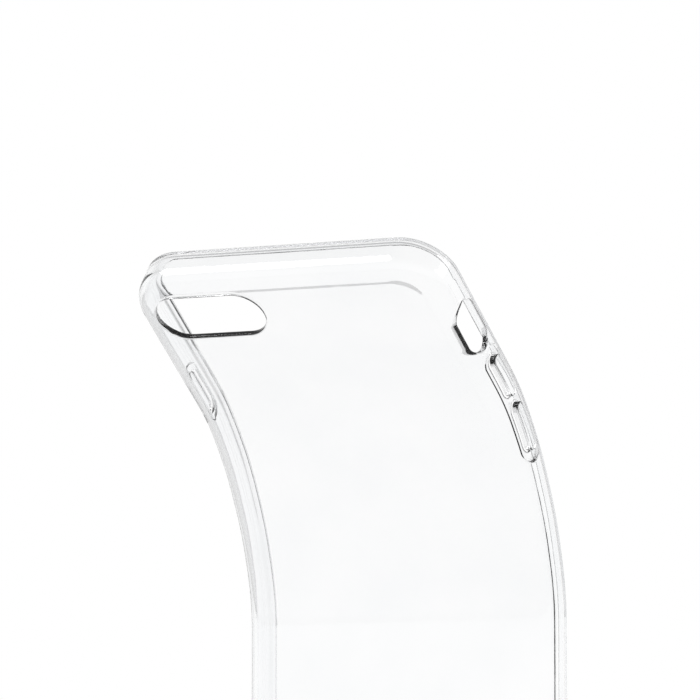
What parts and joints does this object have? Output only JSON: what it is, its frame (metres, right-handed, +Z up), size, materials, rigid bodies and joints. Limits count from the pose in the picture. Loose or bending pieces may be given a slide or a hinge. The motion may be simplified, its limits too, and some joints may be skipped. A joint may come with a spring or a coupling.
{
  "type": "phone case",
  "caption": "Clear flexible phone case, bent backwards, with a camera slot, side switch opening and moulded-in button covers.",
  "frame": {"origin": "on the inner face of the back, where the phone rests, on the centre line 35 mm up from the charging end", "axes": "+X to the right seen from behind, +Y from the back towards the screen, +Z up the straight lower half towards the camera end"},
  "size_m": [0.0712, 0.0575, 0.1279],
  "materials": {
    "clear_shell": "clear soft thermoplastic polyurethane, glossy, with faint handling marks",
    "clear_cover": "the same clear polyurethane, a little thicker, glossy"
  },
  "bodies": {
    "lower_part": {"lower_shell": "clear_shell"},
    "lower_flex": {"lower_flex_band": "clear_shell"},
    "middle_flex": {"middle_flex_band": "clear_shell"},
    "volume_down_part": {"volume_down_band": "clear_shell"},
    "camera_end": {"camera_end_shell": "clear_shell"},
    "volume_up_cover": {"volume_up_cover": "clear_cover"},
    "volume_down_cover": {"volume_down_cover": "clear_cover"},
    "power_button_cover": {"power_button_cover": "clear_cover"}
  },
  "joints": [
    {"name": "shell_bend", "type": "hinge", "parent": "lower_part", "child": "lower_flex", "pos_m": [0, -0.0013, 0.025], "axis": [1, 0, 0], "range_deg": [-16, 6]},
    {"name": "second_bend", "type": "hinge", "parent": "lower_flex", "child": "middle_flex", "pos_m": [0, -0.00502, 0.03798], "axis": [1, 0, 0], "range_deg": [-10.5, 3.94]},
    {"name": "third_bend", "type": "hinge", "parent": "middle_flex", "child": "volume_down_part", "pos_m": [0, -0.01093, 0.04983], "axis": [1, 0, 0], "range_deg": [-10, 3.75]},
    {"name": "fourth_bend", "type": "hinge", "parent": "volume_down_part", "child": "camera_end", "pos_m": [0, -0.01834, 0.05984], "axis": [1, 0, 0], "range_deg": [-15, 5.62]},
    {"name": "volume_up_press", "type": "slide", "parent": "camera_end", "child": "volume_up_cover", "axis": [-1, 0, 0], "range_m": [0, 0.0004], "stiffness_N_per_m": 3000},
    {"name": "volume_down_press", "type": "slide", "parent": "volume_down_part", "child": "volume_down_cover", "axis": [-1, 0, 0], "range_m": [0, 0.0004], "stiffness_N_per_m": 3000},
    {"name": "power_press", "type": "slide", "parent": "camera_end", "child": "power_button_cover", "axis": [1, 0, 0], "range_m": [0, 0.0004], "stiffness_N_per_m": 3000}
  ],
  "couplings": [
    {"joint": "second_bend", "follows": "shell_bend", "ratio": 0.65625},
    {"joint": "third_bend", "follows": "shell_bend", "ratio": 0.625},
    {"joint": "fourth_bend", "follows": "shell_bend", "ratio": 0.9375}
  ]
}
